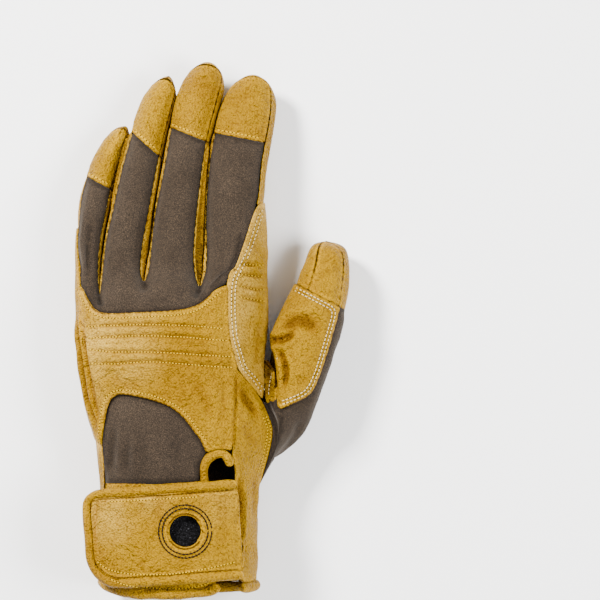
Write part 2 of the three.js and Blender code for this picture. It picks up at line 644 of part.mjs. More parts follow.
// The open rim of the skin, walked from the hem's end beside the slit
function rim_walk() {
  const next = new Map();
  for (const edge of edge_table(skin.faces).values()) {
    if (edge.faces.length > 1) continue;
    const loop = skin.faces[edge.faces[0]].loop;
    const forward = loop.indexOf(edge.ends[1]) === (loop.indexOf(edge.ends[0]) + 1) % loop.length;
    const [a, b] = forward ? edge.ends : [edge.ends[1], edge.ends[0]];
    next.set(a, b);
  }
  const start = corner("hem.index_edge");
  const walk = [start];
  for (let v = next.get(start); v !== start; v = next.get(v)) walk.push(v);
  return walk;
}

function rim_path(walk, radius) {
  const faces_near = neighbourhoods(skin.points.length, skin.faces);
  const path = walk.map((v) => {
    const away = new THREE.Vector3();
    faces_near[v].faces.forEach((f) => {
      const middle = average(skin.faces[f].loop.map((w) => skin.points[w]));
      away.add(skin.points[v].clone().sub(middle));
    });
    return { away, v };
  });
  return path.map(({ away, v }, i) => {
    const before = walk[(i + walk.length - 1) % walk.length];
    const after = walk[(i + 1) % walk.length];
    const tangent = skin.points[after].clone().sub(skin.points[before]).normalize();
    const normal = skin_normals[v];
    const outward = tangent.clone().cross(normal).normalize();
    if (outward.dot(away) < 0) outward.negate();
    const middle_of_wall = skin.points[v].clone().addScaledVector(normal, -leather_wall / 2);
    return middle_of_wall.addScaledVector(outward, radius + seam_gap / 2);
  });
}

// The closing tab and its hook-and-loop patch lie over the cuff's back
const cuff = hand_sections.find((section) => section.name === "cuff_mid");
const tab_centre = { x: 0.079 * palm_width, y: -1.233 * palm_length };
const tab_turn = THREE.MathUtils.degToRad(4);
const tab_hole_share = 0.655;
const tab_hole_rise = 0.02;
const tab_spread = { left: 1.32, right: 1.03 };
const tab_rings = 4;
const outline_step = 4.5;
const corner_step = 3;

function cuff_back_height(x, above, spread_left, spread_right) {
  const middle = (cuff.left[0] + cuff.right[0]) / 2 * palm_width;
  const half = (cuff.right[0] - cuff.left[0]) / 2 * palm_width;
  const share = (x - middle) / (half * (x < middle ? spread_left : spread_right));
  return wrist_side_height + (cuff.top * palm_depth + above - wrist_side_height) * oval_height(share);
}

// Outline of a rounded rectangle, from its right end's top round the left end to the bottom
function rounded_outline(left, right, bottom, top, top_radius, bottom_radius) {
  const points = [];
  const run = (x1, y1, x2, y2) => {
    const steps = Math.max(1, Math.round(Math.hypot(x2 - x1, y2 - y1) / outline_step));
    const start = new THREE.Vector2(x1, y1);
    const end = new THREE.Vector2(x2, y2);
    for (let i = 0; i < steps; i++) points.push(start.clone().lerp(end, i / steps));
  };
  const turn = (x, y, radius, from) => {
    const steps = Math.max(2, Math.round(radius * Math.PI / 2 / corner_step));
    for (let i = 0; i < steps; i++) {
      const angle = THREE.MathUtils.degToRad(from + 90 * i / steps);
      points.push(new THREE.Vector2(x + radius * Math.cos(angle), y + radius * Math.sin(angle)));
    }
  };
  run(right, top, left + top_radius, top);
  turn(left + top_radius, top - top_radius, top_radius, 90);
  run(left, top - top_radius, left, bottom + bottom_radius);
  turn(left + bottom_radius, bottom + bottom_radius, bottom_radius, 180);
  run(left + bottom_radius, bottom, right, bottom);
  points.push(new THREE.Vector2(right, bottom));
  return points;
}
const group = new THREE.Group();
const panel_names = [...new Set(skin.faces.map((face) => face.panel))];
panel_names.forEach((name) => group.add(panel_mesh(name)));

const walk = rim_walk();
const slit_end = walk.indexOf(corner("hem.index_top"));
const slit_stop = walk.indexOf(corner("wrist.index_edge")) - 1;
const hem_on_positive = walk.indexOf(corner("hem.outer_side"));
const hem_first = hem_on_positive < slit_end;
const hem_walk = hem_first ? walk.slice(0, slit_end + 1) : [...walk.slice(slit_end), walk[0]];
const slit_walk = hem_first ? walk.slice(slit_end, slit_stop + 1) : walk.slice(slit_stop, slit_end + 1);
const hem_path = rim_path(walk, hem_piping_radius);
const slit_path = rim_path(walk, slit_piping_radius);
const on_walk = (path) => (v) => path[walk.indexOf(v)];
const hem_points = hem_walk.map(on_walk(hem_path));
const slit_points = slit_walk.map(on_walk(slit_path)).slice(1);
hem_points.forEach((point) => {
  point.z = Math.max(point.z, table_level + hem_piping_radius);
});
group.add(piping_mesh("hem_piping", hide, hem_points, hem_piping_radius));
group.add(piping_mesh("slit_piping", hide, slit_points, slit_piping_radius));

// A plate between an outline and a hole or a middle point, laid over the cuff
function laid_plate(name, material, outline, hole, underside, wall) {
  const count = outline.length;
  const positions = [];
  const triangles = [];
  for (const lift of [wall, 0]) {
    for (let ring = 0; ring <= tab_rings; ring++) {
      outline.forEach((point, i) => {
        const spot = hole[i].clone().lerp(point, ring / tab_rings);
        positions.push(new THREE.Vector3(spot.x, spot.y, underside(spot.x) + lift));
      });
    }
  }
  const layer = (tab_rings + 1) * count;
  for (let i = 0; i < count; i++) {
    const next = (i + 1) % count;
    for (let ring = 0; ring < tab_rings; ring++) {
      const [a, b] = [ring * count + i, ring * count + next];
      triangles.push([a, a + count, b + count], [a, b + count, b]);
      const [a2, b2] = [a + layer, b + layer];
      triangles.push([a2, b2 + count, a2 + count], [a2, b2, b2 + count]);
    }
    const [rim_a, rim_b] = [tab_rings * count + i, tab_rings * count + next];
    triangles.push([rim_a, rim_a + layer, rim_b + layer], [rim_a, rim_b + layer, rim_b]);
    triangles.push([i, next + layer, i + layer], [i, next, next + layer]);
  }
  return closed_mesh(name, material, positions, triangles);
}

const tab_right = tab_length * (1 - tab_hole_share);
const tab_left = -tab_length * tab_hole_share;
const tab_bottom = -tab_height * (0.5 + tab_hole_rise);
const tab_top = tab_height * (0.5 - tab_hole_rise);
const place_on_cuff = (point) => new THREE.Vector2(
  tab_centre.x + point.x * Math.cos(tab_turn) - point.y * Math.sin(tab_turn),
  tab_centre.y + point.x * Math.sin(tab_turn) + point.y * Math.cos(tab_turn));
const patch_lift = lay_gap;
const tab_lift = patch_lift + 2 * loop_patch_wall + lay_gap;
const tab_underside = (x) => cuff_back_height(x, tab_lift, tab_spread.left, tab_spread.right);

function tab_outline(inset) {
  return rounded_outline(tab_left + inset, tab_right, tab_bottom + inset, tab_top - inset,
    tab_top_corner - inset, tab_bottom_corner - inset);
}

const plate_outline = tab_outline(2 * tab_piping_radius + seam_gap);
const hole_ring = plate_outline.map((point) => point.clone().setLength(tab_hole_radius));
group.add(laid_plate("cuff_tab", hide, plate_outline.map(place_on_cuff), hole_ring.map(place_on_cuff),
  tab_underside, tab_wall));
const binding = tab_outline(tab_piping_radius).map(place_on_cuff).map((point) =>
  new THREE.Vector3(point.x, point.y, tab_underside(point.x) + tab_wall / 2));
group.add(piping_mesh("tab_piping", hide, binding, tab_piping_radius));

// A rectangular tape laid over the cuff
function laid_tape(name, material, length, height, underside, wall) {
  const across = Math.round(length / outline_step);
  const up = Math.round(height / outline_step);
  const positions = [];
  const triangles = [];
  for (const lift of [wall, 0]) {
    for (let j = 0; j <= up; j++) {
      for (let i = 0; i <= across; i++) {
        const spot = place_on_cuff(new THREE.Vector2((i / across - 0.5) * length, (j / up - 0.5) * height));
        positions.push(new THREE.Vector3(spot.x, spot.y, underside(spot.x) + lift));
      }
    }
  }
  const row = across + 1;
  const layer = row * (up + 1);
  for (let j = 0; j < up; j++) {
    for (let i = 0; i < across; i++) {
      const a = j * row + i;
      triangles.push([a, a + 1, a + row + 1], [a, a + row + 1, a + row]);
      const a2 = a + layer;
      triangles.push([a2, a2 + row + 1, a2 + 1], [a2, a2 + row, a2 + row + 1]);
    }
  }
  const wall_between = (a, b) => triangles.push([b, a, a + layer], [b, a + layer, b + layer]);
  for (let i = 0; i < across; i++) {
    wall_between(i, i + 1);
    wall_between(up * row + i + 1, up * row + i);
  }
  for (let j = 0; j < up; j++) {
    wall_between((j + 1) * row, j * row);
    wall_between(j * row + across, (j + 1) * row + across);
  }
  return closed_mesh(name, material, positions, triangles);
}

group.add(laid_tape("loop_patch", loop_tape, loop_patch_length, loop_patch_height,
  (x) => cuff_back_height(x, patch_lift, tab_spread.right, tab_spread.right), loop_patch_wall));

// The glove stands with its box's bottom middle at the origin
const box = new THREE.Box3().setFromObject(group);
const middle = box.getCenter(new THREE.Vector3());
group.position.set(-middle.x, -middle.y, -box.min.z);

export default group;
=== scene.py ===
# A left-hand leather glove for climbing and rope work, lying palm down on a pale floor.
# Metres, +X towards the thumb, +Y towards the fingertips, +Z up through the back of the hand.
import json
import math
import random

import bmesh
import bpy
import numpy as np
from mathutils import Matrix, Vector
from mathutils.bvhtree import BVHTree
from mathutils.kdtree import KDTree

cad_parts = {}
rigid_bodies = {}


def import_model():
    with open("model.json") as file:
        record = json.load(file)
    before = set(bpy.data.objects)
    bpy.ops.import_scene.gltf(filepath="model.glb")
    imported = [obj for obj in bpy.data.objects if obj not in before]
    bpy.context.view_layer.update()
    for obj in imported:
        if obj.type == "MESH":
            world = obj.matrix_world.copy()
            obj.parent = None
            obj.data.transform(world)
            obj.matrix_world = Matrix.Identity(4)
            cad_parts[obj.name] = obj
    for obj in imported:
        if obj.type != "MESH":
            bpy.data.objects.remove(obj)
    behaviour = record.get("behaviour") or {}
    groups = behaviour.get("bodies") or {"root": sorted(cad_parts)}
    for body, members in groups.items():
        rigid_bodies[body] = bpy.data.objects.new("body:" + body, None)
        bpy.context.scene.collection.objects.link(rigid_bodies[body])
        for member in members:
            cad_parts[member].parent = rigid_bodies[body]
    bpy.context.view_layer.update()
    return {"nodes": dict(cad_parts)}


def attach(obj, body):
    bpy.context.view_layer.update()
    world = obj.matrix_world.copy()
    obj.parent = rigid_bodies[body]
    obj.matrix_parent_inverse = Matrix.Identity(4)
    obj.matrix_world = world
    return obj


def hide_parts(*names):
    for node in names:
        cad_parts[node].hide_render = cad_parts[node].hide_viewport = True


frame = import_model()

# The studio: a white paper floor under soft light, seen from straight above the back of the
# hand through a long lens, with the glove in the left half of the picture.
picture_scale = 0.0004813  # metres to a pixel of the photo
picture_width = 600  # pixels
picture_centre = Vector((0.04235, 0.0138, 0.02))
camera_height = 2.4
sensor_width = 36  # millimetres
room_light = 0.42
floor_drop = 0.0002


def add_light(name, place, width, power, colour):
    lamp = bpy.data.lights.new(name, "AREA")
    lamp.size = width
    lamp.energy = power
    lamp.color = colour
    holder = bpy.data.objects.new(name, lamp)
    bpy.context.collection.objects.link(holder)
    holder.location = place
    holder.rotation_euler = (-Vector(place)).to_track_quat("-Z", "Y").to_euler()


add_light("key_light", (-0.8, 0.75, 0.85), 0.3, 84, (1, 0.985, 0.96))
add_light("fill_light", (1.0, -0.1, 0.9), 0.7, 40, (1, 1, 1))
add_light("low_light", (0.1, -1.2, 0.9), 0.8, 11, (1, 1, 1))
room = bpy.data.worlds.new("room")
bpy.context.scene.world = room
room.use_nodes = True
sky = room.node_tree.nodes["Background"]
sky.inputs["Color"].default_value = (1, 1, 1, 1)
sky.inputs["Strength"].default_value = room_light

lens = bpy.data.cameras.new("camera")
lens.sensor_width = sensor_width
lens.lens = sensor_width * camera_height / (picture_width * picture_scale)
lens.clip_end = 20
camera = bpy.data.objects.new("camera", lens)
bpy.context.collection.objects.link(camera)
camera.location = picture_centre + Vector((0, 0, camera_height))
bpy.context.scene.camera = camera

floor_mesh = bpy.data.meshes.new("floor")
shape = bmesh.new()
bmesh.ops.create_grid(shape, x_segments=1, y_segments=1, size=3)
shape.to_mesh(floor_mesh)
shape.free()
floor = bpy.data.objects.new("floor", floor_mesh)
floor.location.z = -floor_drop
bpy.context.collection.objects.link(floor)
paper = bpy.data.materials.new("paper")
paper.use_nodes = True
paper_surface = paper.node_tree.nodes["Principled BSDF"]
paper_surface.inputs["Base Color"].default_value = (0.98, 0.98, 0.98, 1)
paper_surface.inputs["Roughness"].default_value = 0.9
floor_mesh.materials.append(paper)

# The heel of the palm: soft goat leather from the hem to the ball of the thumb. It turns up the
# little finger's side in a roll, and up the thumb's side as the plump column beside the slit.
skin_levels = 3
middle_column, middle_row = 171.5, 290
middle_x, middle_y = -0.0195, 0.0186
over_glove, under_glove = 0.1, -0.05
crease_step = 0.004


def plan_point(column, row):
    """Where a pixel of the photo lies in plan, counted from the pixel in the glove's middle."""
    return Vector(((column - middle_column) * picture_scale + middle_x,
                   (middle_row - row) * picture_scale + middle_y, 0))


def tree_of(objects):
    """One search tree over the meshes of all these objects."""
    whole = bmesh.new()
    for one in objects:
        whole.from_mesh(one.data)
    tree = BVHTree.FromBMesh(whole)
    whole.free()
    return tree


solids_tree = tree_of(frame["nodes"].values())


def laid(spots, side, tree):
    """Plan spots dropped on the glove's back, or raised to its palm, each with its normal."""
    start, way = (over_glove, -1) if side == "back" else (under_glove, 1)
    found = []
    for spot in spots:
        place, normal = tree.ray_cast(Vector((spot.x, spot.y, start)), Vector((0, 0, way)))[:2]
        if place is not None:
            found.append((place, normal))
    return found


def steps_along(spots, pitch):
    """Points at an even pitch along a smooth curve through the spots."""
    parts = 12
    fine = []
    for i in range(len(spots) - 1):
        a, b = spots[max(i - 1, 0)], spots[i]
        c, d = spots[i + 1], spots[min(i + 2, len(spots) - 1)]
        for part in range(parts):
            t = part / parts
            fine.append(0.5 * (2 * b + (c - a) * t + (2 * a - 5 * b + 4 * c - d) * t ** 2
                               + (3 * b - a - 3 * c + d) * t ** 3))
    fine.append(spots[-1])
    even, left = [fine[0]], pitch
    for a, b in zip(fine, fine[1:]):
        length = (b - a).length
        while length >= left:
            a = a.lerp(b, left / length)
            even.append(a)
            length -= left
            left = pitch
        left -= length
    return even


def crease(points, depth, width, side="back", shoulder=0.35):
    """A fold line along plan points of the photo: its depth inwards and half width are in mm."""
    spots = steps_along([plan_point(*point) for point in points], crease_step)
    on_skin = laid(spots, side, solids_tree)
    places = np.array([tuple(place) for place, normal in on_skin])
    normals = np.array([tuple(normal) for place, normal in on_skin])
    return places, normals, depth / 1000, width / 1000, shoulder


def folded(co, creases):
    """Moves points by every crease near them: down in the fold and up on its shoulders."""
    shoulder_place, shoulder_width = 1.7, 0.8
    end_depth, fade_rate = 0.2, 5
    fold_reach, search_reach = 3, 3.2
    moved = co.copy()
    for places, normals, depth, width, shoulder in creases:
        reach = search_reach * width
        near = np.all((co > places.min(0) - reach) & (co < places.max(0) + reach), axis=1)
        here = co[near]
        if not len(here):
            continue
        best = np.full(len(here), np.inf)
        inward = np.zeros_like(here)
        fade = np.ones(len(here))
        pieces = len(places) - 1
        for i in range(pieces):
            along = places[i + 1] - places[i]
            t = np.clip((here - places[i]) @ along / max(along @ along, 1e-12), 0, 1)
            gap = np.linalg.norm(here - (places[i] + t[:, None] * along), axis=1)
            closer = gap < best
            best[closer] = gap[closer]
            part = t[closer, None]
            inward[closer] = normals[i] * (1 - part) + normals[i + 1] * part
            run = (i + t[closer]) / pieces
            fade[closer] = np.clip(np.minimum(run, 1 - run) * fade_rate, 0, 1)
        r = best / width
        profile = np.exp(-r ** 2) - shoulder * np.exp(-((r - shoulder_place) / shoulder_width) ** 2)
        amount = -depth * profile * (end_depth + (1 - end_depth) * fade)
        amount[r > fold_reach] = 0
        moved[near] += inward * amount[:, None]
    return moved


waves = random.Random(4)
ripples = []
for ripple in range(14):
    heading = np.array([waves.gauss(0, 1) for axis in range(3)])
    wavelength = waves.uniform(0.010, 0.026)
    ripples.append((heading * 2 * math.pi / wavelength, waves.uniform(0, 6.3)))


def uneven(co):
    """The slight ups and downs of hide that has been worn and laid down."""
    return sum(np.sin(co @ heading + phase) for heading, phase in ripples) / math.sqrt(len(ripples))


seam_spots = {}


def slack(co, normals, fill):
    """How much of fill each point may swell, so that it meets halfway what it faces."""
    lift, search, spare = 0.0003, 0.008, 0.08
    free = np.zeros(len(co))
    for i, (spot, way) in enumerate(zip(co, normals)):
        gap = solids_tree.ray_cast(Vector(spot) + Vector(way) * lift, Vector(way), search)[3]
        if gap is not None:
            free[i] = np.clip((gap * 500 - spare) / fill, 0, 1)
    return free


def closed_up(bm, edge, closing):
    """Sharpens a panel's edges and pushes its narrow walls out to the seams, by closing in mm."""
    seam_bend, longest_mitre, spots_per_edge = 0.95, 0.6, 6
    sharpness = bm.edges.layers.float.new("crease_edge")
    edges = [side for side in bm.edges if side.calc_face_angle(0) > seam_bend]
    bent = set(edges)
    seam = []
    for side in edges:
        side[sharpness] = edge
        start, end = side.verts[0].co, side.verts[1].co
        seam += [start.lerp(end, part / spots_per_edge) for part in range(spots_per_edge)]
    push, shares = {}, {}
    for face in bm.faces:
        sharp = [side in bent for side in face.edges]
        if len(sharp) == 4 and (sharp[0] and sharp[2] or sharp[1] and sharp[3]):
            for corner in face.verts:
                push[corner] = push.get(corner, Vector()) + face.normal
                shares[corner] = shares.get(corner, 0) + 1
    for corner, way in push.items():
        corner.co += way.normalized() * closing / 1000 / max(way.length / shares[corner], longest_mitre)
    return seam


def smoothed(name, bm):
    """The mesh as an object, with its subdivision already applied."""
    mesh = bpy.data.meshes.new(name)
    bm.to_mesh(mesh)
    bm.free()
    piece = bpy.data.objects.new(name + "_sewn", mesh)
    bpy.context.collection.objects.link(piece)
    smooth = piece.modifiers.new("smooth", "SUBSURF")
    smooth.levels = smooth.render_levels = skin_levels
    ready = piece.evaluated_get(bpy.context.evaluated_depsgraph_get())
    finished = bpy.data.meshes.new_from_object(ready)
    piece.modifiers.clear()
    piece.data = finished
    return piece


def points_of(mesh):
    co = np.empty(len(mesh.vertices) * 3)
    mesh.vertices.foreach_get("co", co)
    return co.reshape(-1, 3)


def paint(mesh, title, values):
    """Keeps one value from 0 to 1 at each point, for the material to read."""
    mark = mesh.attributes.new(title, "FLOAT", "POINT")
    mark.data.foreach_set("value", np.clip(values, 0, 1).astype(np.float32))


def sewn_panel(name, creases=(), plump=0.35, rim=0.0, edge=0.5, ripple=0.12, closing=0.3, swell=0.0,
               fill=0.0):
    """A CAD panel as soft hide or cloth. Heights are in mm: plump is the middle's, rim the border's."""
    weld, any_angle, off_floor = 2e-5, 3.1, 0.00001
    seam_width, slope, rim_width, ripple_slope = 1.0, 3.5, 0.8, 4
    fill_from, fill_slope = 0.7, 2.2
    full_fold, shaded_width = 1.6, 5
    bm = bmesh.new()
    bm.from_mesh(frame["nodes"][name].data)
    bmesh.ops.remove_doubles(bm, verts=bm.verts, dist=weld)
    bmesh.ops.join_triangles(bm, faces=bm.faces, angle_face_threshold=any_angle,
                             angle_shape_threshold=any_angle)
    seam = closed_up(bm, edge, closing)
    seam_spots[name] = seam
    piece = smoothed(name, bm)
    finished = piece.data
    co = points_of(finished)
    normals = np.empty(co.size, np.float32)
    finished.vertex_normals.foreach_get("vector", normals)
    normals = normals.reshape(-1, 3)
    seams = KDTree(len(seam))
    for i, spot in enumerate(seam):
        seams.insert(spot, i)
    seams.balance()
    gap = np.array([seams.find(spot)[2] for spot in co]) * 1000
    rise = swell + plump * np.clip((gap - seam_width) / slope, 0, 1)
    rise += rim * np.exp(-((gap - seam_width) / rim_width) ** 2)
    rise += ripple * uneven(co) * np.clip(gap / ripple_slope, 0, 1)
    if fill:
        rise += fill * np.clip((gap - fill_from) / fill_slope, 0, 1) * slack(co, normals, fill)
    co += normals * (rise[:, None] / 1000)
    sunk = folded(co, creases)
    depth = np.sum((co - sunk) * normals, axis=1) * 1000
    sunk[:, 2] = np.maximum(sunk[:, 2], off_floor)
    finished.vertices.foreach_set("co", sunk.ravel())
    # The folds' depth and the closeness to a seam, which the materials turn into painted shade and
    # highlights.
    paint(finished, "fold", depth / full_fold)
    paint(finished, "near_seam", 1 - gap / shaded_width)
    finished.shade_smooth()
    finished.update()
    return piece


def painted_highlights(piece, spots):
    """Painted highlights, as paler hide: 1 at each spot of the photo, 0 past its radius."""
    co = points_of(piece.data)
    pale = np.zeros(len(co))
    for column, row, radius, strength in spots:
        spot = plan_point(column, row)
        gap = np.hypot(co[:, 0] - spot.x, co[:, 1] - spot.y) / (radius * picture_scale)
        pale = np.maximum(pale, strength * np.clip(1 - gap, 0, 1))
    paint(piece.data, "pale", pale)


def dressed(piece, material, node):
    piece.data.materials.clear()
    piece.data.materials.append(material)
    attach(piece, "root")
    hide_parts(node)


class Recipe:
    """A material's node tree, with the few steps that the glove's hides and cloths share."""

    # A Mix node's two inputs and its output, by their numbers, for vectors and for colours.
    vector_sockets = (4, 5, 1)
    colour_sockets = (6, 7, 2)

    def __init__(self, name):
        self.material = bpy.data.materials.new(name)
        self.material.use_nodes = True
        self.nodes = self.material.node_tree.nodes
        self.links = self.material.node_tree.links
        self.surface = self.nodes["Principled BSDF"]
        self.place = self.nodes.new("ShaderNodeTexCoord").outputs["Object"]

    def noise(self, scale, detail=4.0, distortion=0.0, stretch=(1, 1, 1)):
        placed = self.nodes.new("ShaderNodeMapping")
        placed.inputs["Scale"].default_value = stretch
        self.links.new(self.place, placed.inputs["Vector"])
        texture = self.nodes.new("ShaderNodeTexNoise")
        texture.inputs["Scale"].default_value = scale
        texture.inputs["Detail"].default_value = detail
        texture.inputs["Distortion"].default_value = distortion
        self.links.new(placed.outputs["Vector"], texture.inputs["Vector"])
        return texture.outputs["Fac"]

    def cells(self, scale, bend=0.0):
        texture = self.nodes.new("ShaderNodeTexVoronoi")
        texture.inputs["Scale"].default_value = scale
        texture.inputs["Randomness"].default_value = 1
        vector = self.place
        if bend:
            wander = self.nodes.new("ShaderNodeTexNoise")
            wander.inputs["Scale"].default_value = scale / 4
            self.links.new(self.place, wander.inputs["Vector"])
            shift = self.nodes.new("ShaderNodeMix")
            shift.data_type = "VECTOR"
            shift.inputs["Factor"].default_value = bend
            first, second, mixed = self.vector_sockets
            self.links.new(self.place, shift.inputs[first])
            self.links.new(wander.outputs["Color"], shift.inputs[second])
            vector = shift.outputs[mixed]
        self.links.new(vector, texture.inputs["Vector"])
        return texture.outputs["Distance"]

    def painted(self, name):
        mark = self.nodes.new("ShaderNodeAttribute")
        mark.attribute_name = name
        return mark.outputs["Fac"]

    def ramp(self, source, *stops):
        step = self.nodes.new("ShaderNodeValToRGB")
        bands = step.color_ramp.elements
        while len(bands) < len(stops):
            bands.new(0.5)
        for band, (position, colour) in zip(bands, stops):
            band.position = position
            band.color = (*colour, 1)
        self.links.new(source, step.inputs["Fac"])
        return step.outputs["Color"]

    def mix(self, kind, factor, under, over):
        blend = self.nodes.new("ShaderNodeMix")
        blend.data_type = "RGBA"
        blend.blend_type = kind
        if isinstance(factor, float):
            blend.inputs["Factor"].default_value = factor
        else:
            self.links.new(factor, blend.inputs["Factor"])
        first, second, mixed = self.colour_sockets
        self.links.new(under, blend.inputs[first])
        self.links.new(over, blend.inputs[second])
        return blend.outputs[mixed]

    def rough(self, source, low, high):
        span = self.nodes.new("ShaderNodeMapRange")
        span.inputs["To Min"].default_value = low
        span.inputs["To Max"].default_value = high
        self.links.new(source, span.inputs["Value"])
        self.links.new(span.outputs["Result"], self.surface.inputs["Roughness"])

    def bump(self, height, strength, distance, below=None):
        dents = self.nodes.new("ShaderNodeBump")
        dents.inputs["Strength"].default_value = strength
        dents.inputs["Distance"].default_value = distance
        self.links.new(height, dents.inputs["Height"])
        if below is not None:
            self.links.new(below, dents.inputs["Normal"])
        self.links.new(dents.outputs["Normal"], self.surface.inputs["Normal"])
        return dents.outputs["Normal"]


tan = (0.232, 0.125, 0.0)
rich_tan = (0.168, 0.082, 0.0)
highlight_tan = (0.40, 0.25, 0.035)


def grain_hide(name, colour, deep, pale, grain=1050):
    """Dyed grain leather: mottled and dark in pores, with painted shade in seams and folds, and painted
    highlights at spots and on the rims beside seams, where the cut edge is paler too.
    """
    hide = Recipe(name)
    tone = hide.ramp(hide.noise(24, 5, 0.6), (0.3, deep), (0.55, colour), (0.78, colour))
    # Painted highlights: where the 'pale' spots are painted, the hide turns to its pale colour.
    highlight_tone = hide.ramp(hide.noise(60), (0.3, colour), (0.6, pale))
    tone = hide.mix("MIX", hide.painted("pale"), tone, highlight_tone)
    blotch = hide.ramp(hide.noise(190, 6, 0.8), (0.3, (0.82, 0.78, 0.66)), (0.68, (1.08, 1.08, 1.1)))
    tone = hide.mix("MULTIPLY", 0.4, tone, blotch)
    # Painted shade in the groove right at each seam, and a lighter band beside it: the cut edge's own
    # paler colour with a painted highlight on the raised rim.
    seam = hide.ramp(hide.painted("near_seam"), (0.6, (1, 1, 1)), (0.77, (1.4, 1.42, 2.4)),
                     (0.88, (1.2, 1.2, 1.6)), (0.94, (0.16, 0.1, 0.05)))
    tone = hide.mix("MULTIPLY", 0.9, tone, seam)
    # Painted shade in the folds: the hide darker the deeper each crease sinks.
    sunk = hide.ramp(hide.painted("fold"), (0.0, (1, 1, 1)), (0.35, (0.72, 0.64, 0.5)),
                     (1.0, (0.3, 0.2, 0.08)))
    tone = hide.mix("MULTIPLY", 0.85, tone, sunk)
    pebbles = hide.cells(grain, 0.0009)
    valleys = hide.ramp(pebbles, (0.25, (1.08, 1.08, 1.1)), (0.55, (1, 1, 1)), (0.85, (0.5, 0.4, 0.2)))
    tone = hide.mix("MULTIPLY", 0.75, tone, valleys)
    wrinkles = hide.noise(900, 4, 1.2, (1, 0.5, 1))
    pores = hide.ramp(wrinkles, (0.34, (0.6, 0.5, 0.34)), (0.5, (1, 1, 1)), (0.68, (1.16, 1.16, 1.25)))
    tone = hide.mix("MULTIPLY", 0.35, tone, pores)
    hide.links.new(tone, hide.surface.inputs["Base Color"])
    hide.rough(hide.noise(120), 0.42, 0.56)
    hide.surface.inputs["Specular IOR Level"].default_value = 0.15
    hide.surface.inputs["Specular Tint"].default_value = (1, 0.72, 0.2, 1)
    grained = hide.bump(hide.ramp(pebbles, (0.15, (1, 1, 1)), (0.85, (0, 0, 0))), 0.8, 0.0006)
    grained = hide.bump(wrinkles, 0.6, 0.0009, grained)
    hide.bump(hide.noise(110, 5, 1.8), 0.75, 0.003, grained)
    return hide.material


golden_hide = grain_hide("golden_hide", tan, rich_tan, highlight_tan)
column_seam = crease([(237.5, 368), (237, 390), (236.5, 412), (234, 438), (232, 452)], 1.2, 1.0)
heel_creases = [
    column_seam,
    crease([(240, 388), (250, 403), (259, 419)], 1.3, 2.6),
    crease([(243, 425), (252, 440), (262, 450)], 0.5, 2.2),
    crease([(240, 478), (241, 510), (241, 545), (242, 566)], 2.2, 1.7, shoulder=0.6),
    crease([(253, 470), (254, 490), (253, 520)], 0.6, 2.2),
    crease([(130, 500), (160, 508), (190, 505)], 0.6, 2.5, "palm"),
    crease([(140, 540), (175, 536), (205, 542)], 0.5, 2.5, "palm"),
    crease([(205, 500), (212, 520), (214, 545)], 0.5, 2.2, "palm"),
    crease([(120, 560), (160, 566), (210, 560)], 0.4, 2.0, "palm"),
]
palm_heel = sewn_panel("palm_heel", heel_creases, plump=0.45, ripple=0.25, closing=0.55)
# Painted highlights on the heel's sides and middle.
painted_highlights(palm_heel, [(92, 430, 30, 0.7), (255, 500, 60, 0.15), (150, 530, 70, 0.6)])
dressed(palm_heel, golden_hide, "palm_heel")

# The palm overlay: a second layer of goat leather over the palm and the fingers' roots, quilted
# by rows of stitching, which wraps round the index finger's side and ends on the back.
guard_quilting = [
    [(242, 264), (254, 265), (266, 265)],
    [(241, 274), (254, 276), (266, 277)],
    [(240, 286), (254, 289), (266, 290)],
    [(240, 297), (253, 299.5), (266, 301.5)],
]
palm_quilting = [
    [(236, 262), (205, 272), (176, 284), (140, 300), (122, 308)],
    [(238, 286), (205, 291), (176, 302), (146, 318), (126, 326)],
    [(238, 304), (205, 306), (178, 317), (150, 335), (128, 346)],
    [(232, 322), (205, 322), (180, 333), (152, 352), (130, 368)],
]
quilt_shoulder = 0.5
palm_creases = [crease(line, 0.9, 1.1, "palm", quilt_shoulder) for line in palm_quilting]
palm_creases += [crease(line, 0.85, 1.1, shoulder=quilt_shoulder) for line in guard_quilting]
side_fold_line = [(76.5, 316), (78.5, 335), (81, 352), (84.5, 376), (89, 401), (95, 422), (98, 436)]
side_seam_line = [(82.5, 320), (84.5, 335), (86, 352), (89.5, 372), (93.5, 392), (96.5, 410), (101, 432)]
side_fold = crease(side_fold_line, 2.4, 2.0, shoulder=0.4)
side_seam = crease(side_seam_line, 1.3, 1.4)
palm_creases += [
    side_fold, side_seam,
    crease([(262, 320), (258, 345), (256, 372)], 0.5, 2.6),
    crease([(250, 240), (256, 250), (262, 256)], 0.4, 2.2),
    crease([(266, 345), (262, 352), (263, 362)], 0.6, 1.6),
]
palm_panel = sewn_panel("palm_panel", palm_creases, rim=0.12, ripple=0.15, closing=0.8)
# Painted highlights along the guard and on the palm.
palm_highlights = [(256, 245, 80, 0.9), (258, 310, 80, 1.0), (252, 365, 50, 0.8), (140, 330, 70, 0.7)]
painted_highlights(palm_panel, palm_highlights)
dressed(palm_panel, golden_hide, "palm_panel")

# The leather of each finger's palm side above the overlay, cut narrow and sewn into the
# fourchettes, so that its middle stands plump.
fingers = ("little", "ring", "middle", "index")
for finger in fingers:
    finger_front = sewn_panel("finger_front_" + finger, plump=0.45, ripple=0.15, closing=0.5)
    dressed(finger_front, golden_hide, "finger_front_" + finger)

